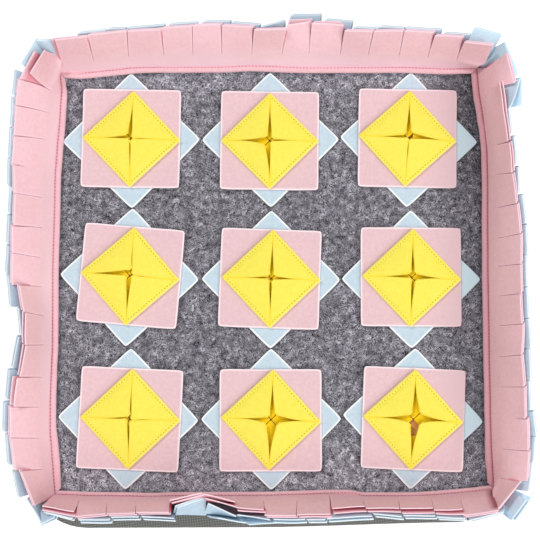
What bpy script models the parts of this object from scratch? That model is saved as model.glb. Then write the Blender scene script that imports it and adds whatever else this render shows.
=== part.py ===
# A square felt snuffle mat: nine three-layer flowers on a grey felt field, a cut fringe
# standing along each side and an anti-slip cloth underneath.
# Origin: centre of the underside. +X is right, +Y the far side, +Z up. Metres.

import math
from collections import namedtuple

import bmesh
import bpy

MM = 0.001
GAP = 0.3 * MM                      # between pieces that lie on each other

# Ground cloths
BACKING_SIDE = 450 * MM
BACKING_CORNER = 40 * MM
BACKING_THICK = 1.5 * MM
FIELD_SIDE = 406 * MM
FIELD_CORNER = 12 * MM
FIELD_THICK = 2.8 * MM

# Flowers
PITCH = 129.4 * MM                  # from one flower to the next
CUT_SIDE = 91 * MM                  # every die-cut square of felt
CUT_CORNER = 1.5 * MM
CUT_THICK = 2.0 * MM
POCKET_REACH = 45.2 * MM            # from a pocket's centre to its corner
POCKET_THICK = 1.8 * MM
FOLD_RADIUS = 1.2 * MM              # of the felt's middle, round a folded edge
FLAP_LIFT = 5.5 * MM                # how far a flap's tip springs up
FLAP_TIP = 1.6 * MM                 # half width of a flap's blunt tip
FLAP_NOSE = 0.7 * MM                # how far the tip's middle stands forward
FLAP_ROWS = (0.0, 0.4, 0.75, 1.0)   # from the fold to the tip
SEAM = 0.5 * MM                     # gap beside a flap at its fold
BED_RING = 0.62                     # where the bed's cross cut starts, of the way out
BED_CUT = 0.5 * MM                  # half the width of the cross cut at its middle

# Fringe
BORDER = 197 * MM                   # from the centre to the border seam at a corner
MITRE = 0.5 * MM                    # taken off each end of a side
PLY = 1.4 * MM
PLY_GAP = 0.4 * MM
BAND = 17 * MM                      # uncut height above the seam
REACH = 48 * MM                     # from the seam to a strip's tip
SLIT = 1.0 * MM                     # between strips where the cut ends
TAPER = 0.8 * MM                    # taken off each side of a strip by its tip
SPREAD = 3.2 * MM                   # from one ply to the next at the tips
SEAM_TOP = 9.0 * MM                 # height of the sewn-down pink fold
FAN = 0.5                           # how much the outermost strips turn past the corner
FAN_POWER = 8                       # how quickly that fades away from the corner

# Where a cut square lies: right and far of its grid place in mm, turned left in degrees
Lay = namedtuple("Lay", "right far turn")

# Flaps: mm from the pocket's centre to each tip. bare: mm of floor bare of the bed's near tip
Flower = namedtuple("Flower", "column row blue pink yellow far_right near_right near_left far_left bare")

FLOWERS = (
    Flower(-1, 1, Lay(-0.4, 1.6, 0.9), Lay(-0.5, 3.1, -1.1), Lay(0.2, 1.9, -1.9), 4.0, 4.0, 4.0, 6.1, 0),
    Flower(0, 1, Lay(0.4, 2.0, 0.1), Lay(-0.4, 0.7, -0.9), Lay(-0.2, -0.3, -0.5), 4.0, 4.0, 8.9, 5.4, 0),
    Flower(1, 1, Lay(0.5, 1.6, -2.6), Lay(-0.8, 2.0, -1.3), Lay(-1.3, 1.5, -3.8), 7.3, 4.0, 4.0, 5.3, 2),
    Flower(-1, 0, Lay(-1.2, 2.5, -2.4), Lay(-0.2, 3.0, -5.0), Lay(-0.1, 2.8, -4.6), 4.0, 4.0, 4.0, 4.0, 0),
    Flower(0, 0, Lay(0.4, 0.0, -0.6), Lay(-1.1, 0.9, -2.3), Lay(0.7, 0.0, -2.2), 4.7, 4.0, 4.0, 4.2, 0),
    Flower(1, 0, Lay(0.7, -0.3, -0.4), Lay(0.9, 1.6, -0.6), Lay(0.6, 0.5, -2.4), 5.7, 5.4, 4.0, 4.6, 0),
    Flower(-1, -1, Lay(-1.1, 1.8, -1.8), Lay(0.3, 1.2, -2.8), Lay(1.3, 1.6, -2.2), 4.0, 4.0, 4.0, 4.0, 0),
    Flower(0, -1, Lay(0.2, 1.0, 0.0), Lay(0.1, 0.0, -0.2), Lay(0.0, 0.5, -2.7), 7.8, 8.6, 7.4, 4.4, 0),
    Flower(1, -1, Lay(0.5, 1.2, -3.0), Lay(0.7, 0.7, -2.8), Lay(0.0, 0.3, -3.8), 10.0, 8.5, 6.2, 6.2, 14),
)

# One strip of a side's fringe: where it ends along the side, how far its tip leans out
# and how far the blue plies stand off behind it there, all in mm
Strip = namedtuple("Strip", "end out apart")

# A side: its direction, the outward direction, mm that its seam bows out at the middle
Side = namedtuple("Side", "along outward bow strips")

SIDES = {
    "far": Side((1, 0), (0, 1), 3.5, (
        Strip(-163, 19, 0), Strip(-131, 26, 0), Strip(-98, 26, 0), Strip(-71, 29, 0), Strip(-44, 29, 0),
        Strip(-17, 28, 0), Strip(12, 24, 0), Strip(37, 32, 4), Strip(66, 34, 4), Strip(92, 24, 0),
        Strip(120, 24, 0), Strip(147, 24, 0), Strip(174, 19, 0), Strip(196.5, 13, 3))),
    "near": Side((1, 0), (0, -1), 0.5, (
        Strip(-171, 10, 0), Strip(-146, 13, 0), Strip(-120, 11, 0), Strip(-90, 10, 0), Strip(-61, -3, 4),
        Strip(-34, 5, 3), Strip(-6, 10, 0), Strip(23, 13, 0), Strip(53, 16, 0), Strip(82, 16, 0),
        Strip(114, 15, 0), Strip(143, 16, 0), Strip(169, 16, 0), Strip(196.5, 13, 5))),
    "left": Side((0, 1), (-1, 0), 4.0, (
        Strip(-172, 18, 2), Strip(-145, 30, 0), Strip(-117, 30, 0), Strip(-90, 27, 0), Strip(-61, 22, 0),
        Strip(-34, 18, 3), Strip(-8, 18, 3), Strip(19, 22, 0), Strip(46, 27, 0), Strip(74, 30, 0),
        Strip(102, 31, 0), Strip(128, 32, 0), Strip(154, 34, 0), Strip(177, 28, 0), Strip(196.5, 20, 3))),
    "right": Side((0, 1), (1, 0), 3.5, (
        Strip(-181, 24, 3), Strip(-156, 30, 0), Strip(-128, 30, 0), Strip(-100, 29, 0), Strip(-73, 27, 0),
        Strip(-45, 25, 0), Strip(-18, 25, 0), Strip(9, 24, 0), Strip(35, 24, 0), Strip(63, 23, 0),
        Strip(93, 22, 0), Strip(120, 20, 0), Strip(150, 21, 0), Strip(174, 21, 2), Strip(196.5, 14, 4))),
}

# Heights, each piece lying on the one below
FIELD_FLOOR = BACKING_THICK + GAP
BLUE_FLOOR = FIELD_FLOOR + FIELD_THICK + GAP
PINK_FLOOR = BLUE_FLOOR + CUT_THICK + GAP
POCKET_FLOOR = PINK_FLOOR + CUT_THICK + GAP
BLUE_FOLD_TOP = BLUE_FLOOR + 2.2 * MM
PINK_FOLD_FLOOR = BLUE_FOLD_TOP + GAP
PINK_FOLD_TOP = PINK_FOLD_FLOOR + 2.8 * MM
PINK_FOLD_WIDTH = 5.0 * MM          # inward from the border seam
BLUE_FOLD_WIDTH = 2.5 * MM
FOLD_BULGE = 0.6 * MM
BLUE_START = 2 * PLY + PLY_GAP + 0.6 * MM   # from the pink inner face to the blue one
BLUE_EXTRA = 2 * MM                 # blue strips are this much longer


def remove_objects():
    for item in list(bpy.data.objects):
        bpy.data.objects.remove(item, do_unlink=True)


def make_cloth(name, color, roughness):
    material = bpy.data.materials.new(name)
    material.use_nodes = True
    shader = material.node_tree.nodes["Principled BSDF"]
    shader.inputs["Base Color"].default_value = (*color, 1.0)
    shader.inputs["Roughness"].default_value = roughness
    shader.inputs["Metallic"].default_value = 0.0
    return material


def make_mesh(name, shape, material):
    bmesh.ops.recalc_face_normals(shape, faces=shape.faces)
    mesh = bpy.data.meshes.new(name)
    shape.to_mesh(mesh)
    shape.free()
    mesh.materials.append(material)
    return mesh


def add_piece(name, mesh, place=(0, 0, 0), turn=0.0):
    piece = bpy.data.objects.new(name, mesh)
    piece.location = place
    piece.rotation_euler = (0, 0, turn)
    bpy.context.scene.collection.objects.link(piece)
    return piece


def rounded_square(side, corner, steps):
    """Outline of a square with round corners, anticlockwise."""
    points = []
    inner = side / 2 - corner
    for quarter in range(4):
        middle = math.radians(45 + 90 * quarter)
        center_x = math.copysign(inner, math.cos(middle))
        center_y = math.copysign(inner, math.sin(middle))
        for step in range(steps + 1):
            angle = math.radians(90 * quarter + 90 * step / steps)
            points.append((center_x + corner * math.cos(angle), center_y + corner * math.sin(angle)))
    return points


def plate(outline, thick):
    """A flat sheet of cloth with its underside at height 0."""
    shape = bmesh.new()
    lower = [shape.verts.new((x, y, 0)) for x, y in outline]
    upper = [shape.verts.new((x, y, thick)) for x, y in outline]
    shape.faces.new(lower)
    shape.faces.new(upper)
    count = len(outline)
    for index in range(count):
        after = (index + 1) % count
        shape.faces.new((lower[index], lower[after], upper[after], upper[index]))
    return shape


class ThickSheet:
    """A sheet given by its middle surface, closed to a body with an inner and an outer skin."""

    def __init__(self, thick):
        self.half = thick / 2
        self.shape = bmesh.new()
        self.faces = []

    def point(self, middle, inward):
        """A pair of vertices either side of the middle; inward points to the inner skin."""
        inner = [m + self.half * n for m, n in zip(middle, inward)]
        outer = [m - self.half * n for m, n in zip(middle, inward)]
        return self.shape.verts.new(inner), self.shape.verts.new(outer)

    def face(self, *points):
        self.faces.append(points)

    def strip(self, row, next_row):
        for index in range(len(row) - 1):
            self.face(row[index], row[index + 1], next_row[index + 1], next_row[index])

    def close(self):
        """Add both skins, and a wall along each edge that only one face uses."""
        uses = {}
        for points in self.faces:
            for skin in (0, 1):
                self.shape.faces.new([pair[skin] for pair in points])
            for pair, after in zip(points, points[1:] + points[:1]):
                uses.setdefault(frozenset((pair, after)), []).append((pair, after))
        for edges in uses.values():
            if len(edges) == 1:
                pair, after = edges[0]
                self.shape.faces.new((pair[0], after[0], after[1], pair[1]))
        return self.shape


def pocket(flower):
    """A square folded corners to middle: a bed with a cross cut, and four flaps over it."""
    sheet = ThickSheet(POCKET_THICK)
    bed = POCKET_THICK / 2
    top = bed + 2 * FOLD_RADIUS
    to_fold = POCKET_REACH / math.sqrt(2) - FOLD_RADIUS - POCKET_THICK / 2
    half_fold = to_fold - SEAM
    up, down = (0, 0, 1), (0, 0, -1)
    backs = (flower.far_right, flower.near_right, flower.near_left, flower.far_left)
    bares = (0, 0, flower.bare, 0)

    axes = []                       # the bed's ring on the seams: far, right, near, left
    apexes = []                     # the bed's four inner tips
    corners = []
    for quarter in range(4):
        angle = math.radians(90 - 90 * quarter)
        x, y = math.cos(angle), math.sin(angle)
        ring = to_fold * math.sqrt(2) * BED_RING
        apex = BED_CUT * math.sqrt(2) + bares[quarter] * MM
        corner = POCKET_REACH - SEAM / 2
        axes.append(sheet.point((x * ring, y * ring, bed), up))
        apexes.append(sheet.point((x * apex, y * apex, bed), up))
        corners.append(sheet.point((x * corner, y * corner, bed), up))

    folds = []
    diagonals = []
    for quarter in range(4):
        angle = math.radians(45 - 90 * quarter)
        out_x, out_y = math.cos(angle), math.sin(angle)
        side_x, side_y = out_y, -out_x

        def spot(side, out, height):
            return (side_x * side + out_x * out, side_y * side + out_y * out, height)

        inward = (-out_x, -out_y, 0)
        sides = (-half_fold, 0, half_fold)
        low = [sheet.point(spot(side, to_fold, bed), up) for side in sides]
        turn = [sheet.point(spot(side, to_fold + FOLD_RADIUS, bed + FOLD_RADIUS), inward) for side in sides]
        sheet.strip(low, turn)
        before = turn
        length = to_fold - backs[quarter] * MM
        for along in FLAP_ROWS:
            half = half_fold + (FLAP_TIP - half_fold) * along
            height = top + FLAP_LIFT * along ** 1.2
            nose = FLAP_NOSE if along == 1 else 0
            row = [sheet.point(spot(side, to_fold - length * along - more, height), down)
                   for side, more in ((-half, 0), (0, nose), (half, 0))]
            sheet.strip(before, row)
            before = row
        folds.append(low)
        diagonals.append(sheet.point(spot(0, to_fold * BED_RING, bed), up))

    for quarter in range(4):
        after = (quarter + 1) % 4
        inner_ring = [axes[quarter], diagonals[quarter], axes[after]]
        sheet.strip(folds[quarter], inner_ring)
        sheet.face(folds[quarter][0], corners[quarter], folds[quarter - 1][2], axes[quarter])
        sheet.face(axes[quarter], diagonals[quarter], apexes[quarter])
        sheet.face(diagonals[quarter - 1], axes[quarter], apexes[quarter])
    return sheet.close()


class FringeSide:
    """Places points of one side's fringe from along, out and up."""

    def __init__(self, side):
        self.side = side

    def seam(self, along):
        return BORDER + self.side.bow * MM * (1 - (along / BORDER) ** 2)

    def place(self, along, out, up):
        """Out is measured from the seam. The ends follow the corner's mitre."""
        share = abs(along) / BORDER
        turn = FAN * share ** FAN_POWER
        shift = turn * out
        if out < 0 and share > 0.9:
            shift = out
        along_there = along + shift * math.copysign(1, along)
        distance = self.seam(along) + out
        x = self.side.along[0] * along_there + self.side.outward[0] * distance
        y = self.side.along[1] * along_there + self.side.outward[1] * distance
        return (x, y, up)

    def lean(self, along, out_mm, depth, reach):
        """A point in a leaning sheet: depth behind the pink inner face, reach above the seam."""
        sine = out_mm * MM / REACH
        cosine = math.sqrt(1 - sine * sine)
        out = depth * cosine + reach * sine
        up = SEAM_TOP - depth * sine + reach * cosine
        return self.place(along, out, up)

    def lean_at_height(self, along, out_mm, depth, height):
        sine = out_mm * MM / REACH
        cosine = math.sqrt(1 - sine * sine)
        reach = (height - SEAM_TOP + depth * sine) / cosine
        return self.lean(along, out_mm, depth, reach)


def split(shape, low_left, low_right, high_right, high_left):
    """A twisted four-sided face as two triangles, so that plies twist alike and stay apart."""
    shape.faces.new((low_left, low_right, high_right))
    shape.faces.new((low_left, high_right, high_left))


def fringe(side, blue):
    """A strip folded lengthwise: one sewn-down band, and two plies cut into strips."""
    frame = FringeSide(side)
    shape = bmesh.new()
    start = BLUE_START if blue else 0
    depths = (start, start + PLY, start + PLY + PLY_GAP, start + 2 * PLY + PLY_GAP)
    reach = REACH + (BLUE_EXTRA if blue else 0)
    count = len(side.strips)

    def column(along, out_mm):
        """The band's cross-section, with its four top points at places -5 to -2."""
        if blue:
            floor, edge = BLUE_FLOOR, -BLUE_FOLD_WIDTH
            fold = [frame.place(along, edge, floor), frame.place(along, edge, BLUE_FOLD_TOP),
                    frame.lean_at_height(along, out_mm, start, BLUE_FOLD_TOP)]
        else:
            floor, edge = PINK_FOLD_FLOOR, -PINK_FOLD_WIDTH
            fold = [frame.place(along, edge, floor),
                    frame.place(along, edge - FOLD_BULGE, (floor + PINK_FOLD_TOP) / 2),
                    frame.place(along, edge + FOLD_BULGE, PINK_FOLD_TOP),
                    frame.lean(along, out_mm, start, 0)]
        top = [frame.lean(along, out_mm, depth, BAND) for depth in depths]
        outer = frame.lean_at_height(along, out_mm, depths[3], floor)
        return [shape.verts.new(point) for point in fold + top + [outer]]

    columns = []
    start_along = -BORDER + MITRE
    for index, strip in enumerate(side.strips):
        end_along = strip.end * MM
        before = side.strips[max(index - 1, 0)].out
        after = side.strips[min(index + 1, count - 1)].out
        left = start_along + (SLIT / 2 if index > 0 else 0)
        right = end_along - (SLIT / 2 if index < count - 1 else 0)
        columns.append((column(left, (before + strip.out) / 2), column(right, (strip.out + after) / 2)))
        for ply in (0, 1):
            number = ply + (2 if blue else 0)
            behind = SPREAD * number + (strip.apart * MM if blue else 0)
            tip = [frame.lean(along, strip.out, depth, reach)
                   for along, depth in ((left + TAPER, behind), (right - TAPER, behind),
                                        (right - TAPER, behind + PLY), (left + TAPER, behind + PLY))]
            tip = [shape.verts.new(point) for point in tip]
            near, back = -5 + 2 * ply, -4 + 2 * ply
            root = (columns[-1][0][near], columns[-1][1][near], columns[-1][1][back], columns[-1][0][back])
            split(shape, root[0], root[1], tip[1], tip[0])
            split(shape, root[3], root[2], tip[2], tip[3])
            shape.faces.new((root[1], root[2], tip[2], tip[1]))
            shape.faces.new((root[3], root[0], tip[0], tip[3]))
            shape.faces.new(tip)
        start_along = end_along

    size = len(columns[0][0])
    strip_roots = (size - 5, size - 3)
    outer_face = size - 2
    for index, (left, right) in enumerate(columns):
        for place in range(size):
            wrap = (place + 1) % size
            low, high = (wrap, place) if place == outer_face else (place, wrap)
            if place not in strip_roots:
                split(shape, left[low], right[low], right[high], left[high])
        if index + 1 < count:
            following = columns[index + 1][0]
            for place in range(size):
                wrap = (place + 1) % size
                shape.faces.new((right[place], following[place], following[wrap], right[wrap]))
    shape.faces.new(columns[0][0])
    shape.faces.new(columns[-1][1])
    return shape


def add_ground():
    rubber = make_cloth("dotted_cloth", (0.15, 0.155, 0.13), 0.85)
    grey = make_cloth("grey_felt", (0.17, 0.16, 0.18), 0.95)
    outline = rounded_square(BACKING_SIDE, BACKING_CORNER, 8)
    add_piece("backing", make_mesh("backing", plate(outline, BACKING_THICK), rubber))
    outline = rounded_square(FIELD_SIDE, FIELD_CORNER, 4)
    add_piece("base_felt", make_mesh("base_felt", plate(outline, FIELD_THICK), grey), (0, 0, FIELD_FLOOR))


def add_flowers():
    blue = make_cloth("blue_felt", (0.63, 0.78, 0.84), 0.95)
    pink = make_cloth("pink_felt", (0.88, 0.60, 0.63), 0.95)
    yellow = make_cloth("yellow_felt", (0.98, 0.80, 0.10), 0.95)
    outline = rounded_square(CUT_SIDE, CUT_CORNER, 3)
    blue_mesh = make_mesh("blue_square", plate(outline, CUT_THICK), blue)
    pink_mesh = make_mesh("pink_square", plate(outline, CUT_THICK), pink)

    def lay_down(name, mesh, flower, lay, floor, turn):
        place = (flower.column * PITCH + lay.right * MM, flower.row * PITCH + lay.far * MM, floor)
        add_piece(name, mesh, place, math.radians(lay.turn + turn))

    for number, flower in enumerate(FLOWERS, 1):
        yellow_mesh = make_mesh("pocket", pocket(flower), yellow)
        lay_down(f"blue_square_{number}", blue_mesh, flower, flower.blue, BLUE_FLOOR, 45)
        lay_down(f"pink_square_{number}", pink_mesh, flower, flower.pink, PINK_FLOOR, 0)
        lay_down(f"yellow_pocket_{number}", yellow_mesh, flower, flower.yellow, POCKET_FLOOR, 0)


def add_fringes():
    pink = make_cloth("pink_fringe_felt", (0.88, 0.60, 0.63), 0.95)
    blue = make_cloth("blue_fringe_felt", (0.63, 0.78, 0.84), 0.95)
    for name, side in SIDES.items():
        add_piece(f"pink_fringe_{name}", make_mesh("pink_fringe", fringe(side, False), pink))
        add_piece(f"blue_fringe_{name}", make_mesh("blue_fringe", fringe(side, True), blue))


remove_objects()
add_ground()
add_flowers()
add_fringes()
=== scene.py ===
import math

import bmesh
import bpy
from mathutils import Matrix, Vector, noise


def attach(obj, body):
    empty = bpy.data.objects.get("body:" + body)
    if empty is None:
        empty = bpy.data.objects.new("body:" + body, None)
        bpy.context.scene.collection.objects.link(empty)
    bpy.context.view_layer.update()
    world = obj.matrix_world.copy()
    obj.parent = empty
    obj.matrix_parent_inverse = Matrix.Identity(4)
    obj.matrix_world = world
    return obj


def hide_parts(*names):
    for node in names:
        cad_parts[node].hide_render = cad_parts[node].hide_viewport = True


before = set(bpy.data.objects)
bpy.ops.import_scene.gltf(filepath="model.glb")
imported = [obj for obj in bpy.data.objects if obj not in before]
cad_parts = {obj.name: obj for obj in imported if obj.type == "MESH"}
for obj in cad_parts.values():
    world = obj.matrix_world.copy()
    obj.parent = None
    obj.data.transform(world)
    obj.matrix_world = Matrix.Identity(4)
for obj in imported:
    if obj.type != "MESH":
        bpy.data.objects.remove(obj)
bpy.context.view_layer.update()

mm = 0.001
print("frame loaded,", len(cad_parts), "nodes")


# shader maths

class Shade:  # a socket, or a tree to add nodes to
    def __init__(self, tree, socket=None):
        self.tree = tree
        self.socket = socket

    def node(self, kind, settings=None, inputs=None, out=0):
        made = self.tree.nodes.new("ShaderNode" + kind)
        for name, value in (settings or {}).items():
            setattr(made, name, value)
        for name, value in (inputs or {}).items():
            if isinstance(value, Shade):
                self.tree.links.new(value.socket, made.inputs[name])
            else:
                made.inputs[name].default_value = value
        return Shade(self.tree, made.outputs[out])

    def math(self, operation, first, second=0.0, clamp=False):
        return self.node("Math", {"operation": operation, "use_clamp": clamp}, {0: first, 1: second})

    def __add__(self, other):
        return self.math("ADD", self, other)

    __radd__ = __add__

    def __sub__(self, other):
        return self.math("SUBTRACT", self, other)

    def __rsub__(self, other):
        return self.math("SUBTRACT", other, self)

    def __mul__(self, other):
        return self.math("MULTIPLY", self, other)

    __rmul__ = __mul__

    def __abs__(self):
        return self.math("ABSOLUTE", self)

    def held(self):  # kept from 0 to 1
        return self.math("ADD", self, 0.0, True)


def mixed(low, high, share):  # two colours, by a share that is a Shade
    return share.node("Mix", {"data_type": "RGBA"}, {0: share, 6: low, 7: high}, 2)


def grain(place, scale, detail=2.0, distortion=0.0, rough=0.5):
    return place.node("TexNoise", {"noise_dimensions": "3D"},
                      {"Vector": place, "Scale": scale, "Detail": detail,
                       "Distortion": distortion, "Roughness": rough})


def linear(red, green, blue):  # a colour as a screen names it, 0 to 255
    def one(level):
        level /= 255
        return level / 12.92 if level <= 0.04045 else ((level + 0.055) / 1.055) ** 2.4
    return (one(red), one(green), one(blue), 1.0)


def newMaterial(name):
    material = bpy.data.materials.new(name)
    material.use_nodes = True
    tree = material.node_tree
    return material, Shade(tree), tree.nodes["Principled BSDF"]


def dress(base, shader, color, relief, fixed):  # colour, relief (height, strength, depth in mm), fixed values
    base.tree.links.new(color.socket, shader.inputs["Base Color"])
    if relief:
        height, strength, deep = relief
        bump = base.node("Bump", {}, {"Height": height, "Strength": strength, "Distance": deep * mm})
        base.tree.links.new(bump.socket, shader.inputs["Normal"])
    for name, value in fixed.items():
        shader.inputs[name].default_value = value


def axes(place):  # how far right and how far away a place is
    right = place.node("SeparateXYZ", {}, {"Vector": place})
    return right, Shade(right.tree, right.socket.node.outputs[1])


feltLook = {
    "mottleScale": 300.0,  # soft blotches, in blotches a metre
    "mottle": 0.42,
    "fibreScale": 520.0,
    "fibre": 0.3,
    "cutScale": 900.0,
    "cutWaver": 0.5,  # how ragged the pale cut edge and painted highlight are
    "bumpScale": 900.0,
    "bump": 0.35,
    "sheen": 0.05,
    "sheenRoughness": 0.6,
    "roughness": 0.95,
}


# inside is a painted shade colour; the last colour is painted where the attribute is below 0, as shade or, for
# the blue fringe, as light
def feltMaterial(name, color, deep, cut_edge_and_highlight, inside, paintedLightAndShade=None):
    look = feltLook
    material, base, shader = newMaterial(name)
    place = base.node("TexCoord", out=3)  # object coordinates
    blotch = grain(place, look["mottleScale"], 3.0)
    ridge = (1 - abs(grain(place, look["fibreScale"], 2.0, 0.8) - 0.5) * 9.0).held()
    tone = ((blotch - 0.5) * look["mottle"] * 4 + 0.62 - ridge * look["fibre"]).held()
    # the pale colour: partly raw cut edges, partly painted highlights on folds and painted light low on the
    # fringe
    edge = base.node("Attribute", {"attribute_name": "cut_edge_and_highlight"}, out=2)
    waver = (grain(place, look["cutScale"], 2.0) - 0.5) * look["cutWaver"]
    share = ((edge + waver * edge) * 2.0 - 0.5).held()
    finish = mixed(mixed(deep, color, tone), cut_edge_and_highlight, share)
    painted_shading = base.node("Attribute", {"attribute_name": "painted_shading"}, out=2)
    finish = mixed(finish, inside, painted_shading)  # painted shade where the attribute is above 0: inside a pocket, on the pink below it with the pocket's yellow bounce light, between two plies and on far and left blue strips
    if paintedLightAndShade:  # below 0, a second painted colour: shade in a crease, on the flange and from the right fringe, and painted light on some blue strips
        finish = mixed(finish, paintedLightAndShade, 0 - painted_shading)
    fuzz = grain(place, look["bumpScale"], 4.0, 0.6, 0.6) + ridge * 0.25
    dress(base, shader, finish, (fuzz, look["bump"], 0.5), {
        "Roughness": look["roughness"], "Specular IOR Level": 0.0, "Sheen Weight": look["sheen"],
        "Sheen Roughness": look["sheenRoughness"], "Sheen Tint": color})
    return material


marlLook = {
    "dark": linear(18, 15, 21),
    "middle": linear(111, 108, 117),
    "light": linear(214, 212, 223),
    "cloudScale": 210.0,
    "fibreScale": 235.0,
    "fineScale": 420.0,
    "patchScale": 160.0,
    "seamPaintedLight": 0.5,  # how much painted light makes it paler along the near and far seams
    "seamMiddle": 0.01,
    "seamStart": 0.15,  # from the middle, in metres
    "shadeStart": 0.155,  # where the right side's painted shade begins
    "shade": 0.24,  # how deep the painted shade is
    "farShade": 0.36,  # how much deeper the painted shade is at the far half
    "bump": 0.6,
    "roughness": 0.95,
}


def marlMaterial(name):
    look = marlLook
    material, base, shader = newMaterial(name)
    place = base.node("TexCoord", out=3)
    moved = place.node("VectorMath", {"operation": "ADD"}, {0: place, 1: (0.31, 0.17, 0.05)})
    cloud = ((grain(place, look["cloudScale"], 3.0, 0.6, 0.7) - 0.5) * 5.0 + 0.52).held()
    wide = (1 - abs(grain(place, look["fibreScale"], 1.0, 2.0) - 0.5) * 13.0).held()
    fine = (1 - abs(grain(moved, look["fineScale"], 1.0, 2.4) - 0.5) * 11.0).held()
    night = (1 - abs(grain(moved, look["fibreScale"], 1.0, 1.8) - 0.5) * 14.0).held()
    patch = ((grain(moved, look["patchScale"], 2.0) - 0.38) * 4.0).held()
    light = (wide * patch * 0.8 + fine * 0.4).held()
    ground = mixed(look["dark"], look["middle"], cloud)
    ground = mixed(ground, look["dark"], night * 0.8)
    finish = mixed(ground, look["light"], light)
    right, far = axes(place)
    # painted light along the near and far seams, times painted shade on the right side
    paintedLightShadeFactor = ((abs(far - look["seamMiddle"]) - look["seamStart"]) * 25.0).held() * look["seamPaintedLight"] + 1.0
    shade = (far * 5.0).held() * look["farShade"] + look["shade"]
    paintedLightShadeFactor = paintedLightShadeFactor * (1 - ((right - look["shadeStart"]) * 30.0).held() * shade)
    lit = finish.node("VectorMath", {"operation": "SCALE"}, {0: finish, "Scale": paintedLightShadeFactor})
    dress(base, shader, lit, (cloud * 0.4 + light, look["bump"], 0.5),
          {"Roughness": look["roughness"], "Specular IOR Level": 0.0})
    return material


clothLook = {
    "deep": linear(98, 97, 92),
    "weave": linear(118, 116, 112),
    "dot": linear(158, 156, 146),
    "dotShow": 0.75,
    "dotPitch": 3.3 * mm,
    "dotTurn": 38,  # degrees
    "roughness": 0.8,
}


def dottedMaterial(name):
    look = clothLook
    material, base, shader = newMaterial(name)
    place = base.node("TexCoord", out=3)
    turn = (0, 0, math.radians(look["dotTurn"]))
    right, far = axes(place.node("Mapping", {}, {"Vector": place, "Rotation": turn}))
    turns = 2 * math.pi / look["dotPitch"]
    waves = right.math("COSINE", right * turns) * right.math("COSINE", far * turns)
    dots = (waves * 1.8 - 0.3).held()
    speckle = ((grain(place, 700.0, 2.0) - 0.5) * 2.0 + 0.5).held()
    cloth = mixed(mixed(look["deep"], look["weave"], speckle), look["dot"], dots * look["dotShow"])
    dress(base, shader, cloth, (dots + speckle * 0.2, 0.5, 0.3), {"Roughness": look["roughness"]})
    return material


def plainMaterial(name, color, roughness=0.6):  # thread and rubber, with a fine twist
    material, base, shader = newMaterial(name)
    place = base.node("TexCoord", out=3)
    tone = ((grain(place, 1200.0, 2.0) - 0.5) * 2.0 + 0.6).held()
    darker = tuple(level * 0.72 for level in color[:3]) + (1.0,)
    dress(base, shader, mixed(darker, color, tone), (tone, 0.3, 0.1), {"Roughness": roughness})
    return material


feltColors = {  # name, then colour, deeper colour, pale colour of cut edges and painted highlights, painted shade colour, and the colour painted below 0, as a screen shows them
    # the pink's painted shade holds the pocket's yellow bounce light; below 0 it gets the right fringe's
    # painted shade
    "pink": ("pink_felt", (232, 201, 206), (222, 187, 194), (253, 234, 238), (232, 168, 104), (214, 185, 190)),
    "pinkFringe": ("pink_fringe_felt", (245, 204, 211), (236, 192, 201), (255, 221, 231), (224, 118, 138),
                   (170, 105, 117)),
    "blue": ("light_blue_felt", (203, 221, 232), (188, 208, 220), (250, 255, 255), (203, 221, 232),
             (189, 209, 217)),
    # below 0 the blue fringe gets painted light
    "blueFringe": ("blue_fringe_felt", (202, 222, 236), (186, 208, 224), (242, 250, 255), (146, 164, 182),
                   (214, 240, 255)),
    # the yellow's painted shade is amber, with its own bounce light in it
    "yellow": ("yellow_felt", (247, 236, 103), (244, 227, 86), (255, 251, 158), (255, 216, 28)),
}
felts = {key: feltMaterial(name, *(linear(*color) for color in colors))
         for key, (name, *colors) in feltColors.items()}
marl = marlMaterial("grey_marl_felt")
dotted = dottedMaterial("anti_slip_cloth")
rubber = plainMaterial("anti_slip_dots", linear(84, 86, 80), 0.7)
ochreThread = plainMaterial("ochre_thread", linear(196, 172, 60))
roseThread = plainMaterial("rose_thread", linear(184, 90, 108))
print("materials ready")


# mesh helpers

def newObject(name, data):
    made = bpy.data.objects.new(name, data)
    bpy.context.scene.collection.objects.link(made)
    return made


def newPiece(shape, name, material, smooth=False):  # an object from a finished shape, which is freed
    mesh = bpy.data.meshes.new(name)
    shape.to_mesh(mesh)
    shape.free()
    mesh.materials.append(material)
    if smooth:
        mesh.polygons.foreach_set("use_smooth", [True] * len(mesh.polygons))
    return newObject(name, mesh)


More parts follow.
